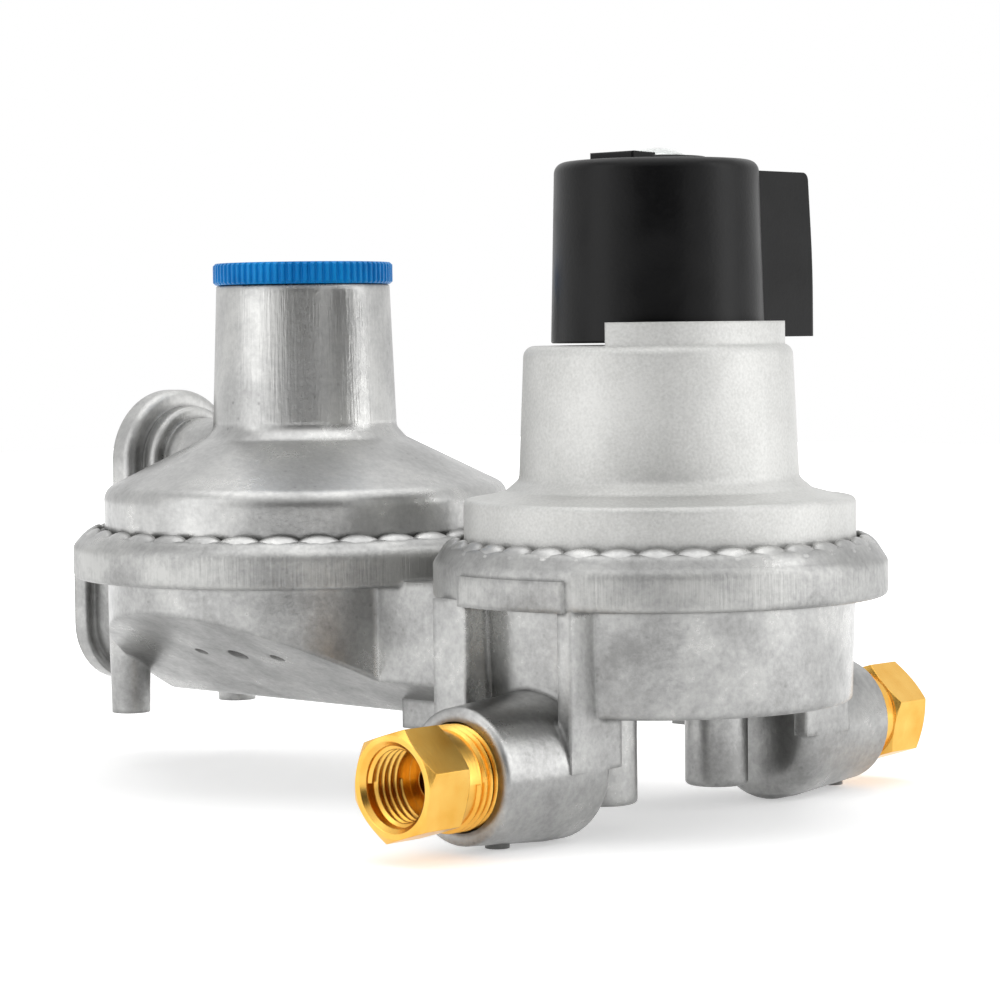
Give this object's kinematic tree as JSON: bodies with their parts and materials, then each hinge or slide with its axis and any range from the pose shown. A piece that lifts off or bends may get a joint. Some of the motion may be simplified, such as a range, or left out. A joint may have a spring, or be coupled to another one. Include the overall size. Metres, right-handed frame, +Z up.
{
  "type": "changeover gas regulator",
  "caption": "Two-stage gas regulator for a caravan: twin crimped diaphragm housings, a turning inlet selector, two brass inlets, a side outlet and a screened vent.",
  "frame": {"origin": "under the middle of the bounding box, level with the lowest point of the inlet bosses", "axes": "+X runs from the second stage to the first, +Y to the inlet under the selector's handle at rest, +Z up"},
  "size_m": [0.188, 0.134, 0.1182],
  "materials": {
    "die_cast_zinc": "raw die-cast skin, semi-gloss with flow marks",
    "blasted_aluminium": "bead-blasted matte",
    "black_nylon": "satin moulded",
    "blue_nylon": "satin moulded",
    "clear_acrylic": "clear moulded lens",
    "signal_enamel": "two-band signal drum",
    "white_acetal": "moulded",
    "brass": "turned and polished",
    "sintered_bronze": "porous sintered",
    "stainless_mesh": "woven mesh",
    "spring_steel": "drawn wire, bright",
    "plated_sheet": "pressed, zinc-plated",
    "turned_aluminium": "turned",
    "diaphragm_rubber": "fabric-backed nitrile",
    "seat_rubber": "moulded nitrile"
  },
  "bodies": {
    "housing": {"lower_casting": "die_cast_zinc", "first_stage_bonnet": "blasted_aluminium", "second_stage_bonnet": "die_cast_zinc", "first_spring_washer": "plated_sheet", "second_stage_nozzle": "brass", "second_lever_pin": "spring_steel", "vent_screen": "stainless_mesh", "vent_ring": "spring_steel", "left_inlet_fitting": "brass", "left_inlet_seal": "seat_rubber", "left_inlet_screen": "sintered_bronze", "left_valve_seat": "brass", "left_lever_pin": "spring_steel", "right_inlet_fitting": "brass", "right_inlet_seal": "seat_rubber", "right_inlet_screen": "sintered_bronze", "right_valve_seat": "brass", "right_lever_pin": "spring_steel"},
    "first_stack": {"first_stage_diaphragm": "diaphragm_rubber", "first_diaphragm_plate": "plated_sheet", "first_stage_pusher": "turned_aluminium", "indicator_rod": "turned_aluminium", "indicator_flag": "signal_enamel", "first_stage_spring": "spring_steel"},
    "selector": {"selector_spindle": "turned_aluminium", "knob_clip": "spring_steel", "selector_knob": "black_nylon", "window_lens": "clear_acrylic"},
    "left_lever": {"left_inlet_lever": "plated_sheet"},
    "right_lever": {"right_inlet_lever": "plated_sheet"},
    "left_valve": {"left_poppet": "brass", "left_seat_pad": "seat_rubber"},
    "right_valve": {"right_poppet": "brass", "right_seat_pad": "seat_rubber"},
    "second_stack": {"second_stage_diaphragm": "diaphragm_rubber", "second_diaphragm_plate": "plated_sheet", "relief_stem": "turned_aluminium", "relief_spring": "spring_steel", "relief_nut": "turned_aluminium", "second_stage_spring": "spring_steel"},
    "second_lever": {"second_stage_lever": "plated_sheet"},
    "second_valve": {"second_stage_plunger": "brass", "second_seat_pad": "seat_rubber"},
    "spring_seat": {"upper_spring_washer": "plated_sheet"},
    "adjuster": {"adjusting_screw": "white_acetal"},
    "cap_seal": {"cap_gasket": "seat_rubber"},
    "cap": {"closing_cap": "blue_nylon"}
  },
  "joints": [
    {"name": "first_stack_lift", "type": "slide", "parent": "housing", "child": "first_stack", "axis": [0, 0, 1], "range_m": [0, 0.0012], "stiffness_N_per_m": 1500, "springref_m": -0.002, "deforming": ["first_stage_diaphragm", "first_stage_spring"]},
    {"name": "selector_turn", "type": "hinge", "parent": "housing", "child": "selector", "pos_m": [0.054, 0, 0.09], "axis": [0, 0, 1], "range_deg": [0, 180]},
    {"name": "left_lever_tilt", "type": "hinge", "parent": "housing", "child": "left_lever", "pos_m": [0.054, -0.0245, 0.0284], "axis": [1, 0, 0], "range_deg": [0, 3.36]},
    {"name": "right_lever_tilt", "type": "hinge", "parent": "housing", "child": "right_lever", "pos_m": [0.054, 0.0245, 0.0284], "axis": [-1, 0, 0], "range_deg": [0, 3.36]},
    {"name": "left_valve_close", "type": "slide", "parent": "housing", "child": "left_valve", "axis": [0, 1, 0], "range_m": [0, 0.000801]},
    {"name": "right_valve_close", "type": "slide", "parent": "housing", "child": "right_valve", "axis": [0, -1, 0], "range_m": [0, 0.000801]},
    {"name": "second_stack_lift", "type": "slide", "parent": "housing", "child": "second_stack", "axis": [0, 0, 1], "range_m": [0, 0.002], "stiffness_N_per_m": 400, "springref_m": -0.004, "deforming": ["second_stage_diaphragm", "second_stage_spring"]},
    {"name": "second_lever_tilt", "type": "hinge", "parent": "housing", "child": "second_lever", "pos_m": [-0.0136, 0, 0.0228], "axis": [0, 1, 0], "range_deg": [0, 4.91]},
    {"name": "second_valve_close", "type": "slide", "parent": "housing", "child": "second_valve", "axis": [1, 0, 0], "range_m": [0, 0.000501]},
    {"name": "adjuster_lift", "type": "slide", "parent": "housing", "child": "spring_seat", "axis": [0, 0, 1], "range_m": [0, 0.00375]},
    {"name": "adjuster_turn", "type": "hinge", "parent": "spring_seat", "child": "adjuster", "pos_m": [-0.037, 0, 0.08], "axis": [0, 0, 1], "range_deg": [0, 901]},
    {"name": "cap_lift", "type": "slide", "parent": "housing", "child": "cap_seal", "axis": [0, 0, 1], "range_m": [0, 0.0075]},
    {"name": "cap_turn", "type": "hinge", "parent": "cap_seal", "child": "cap", "pos_m": [-0.037, 0, 0.098], "axis": [0, 0, 1], "range_deg": [0, 1801]}
  ],
  "couplings": [
    {"joint": "left_lever_tilt", "follows": "first_stack_lift", "rad_per_m": 48.781},
    {"joint": "right_lever_tilt", "follows": "first_stack_lift", "rad_per_m": 48.781},
    {"joint": "left_valve_close", "follows": "first_stack_lift", "ratio": 0.6667},
    {"joint": "right_valve_close", "follows": "first_stack_lift", "ratio": 0.6667},
    {"joint": "second_lever_tilt", "follows": "second_stack_lift", "rad_per_m": 42.735},
    {"joint": "second_valve_close", "follows": "second_stack_lift", "ratio": 0.25},
    {"joint": "adjuster_turn", "follows": "adjuster_lift", "rad_per_m": 4188.8},
    {"joint": "cap_turn", "follows": "cap_lift", "rad_per_m": 4188.8}
  ]
}
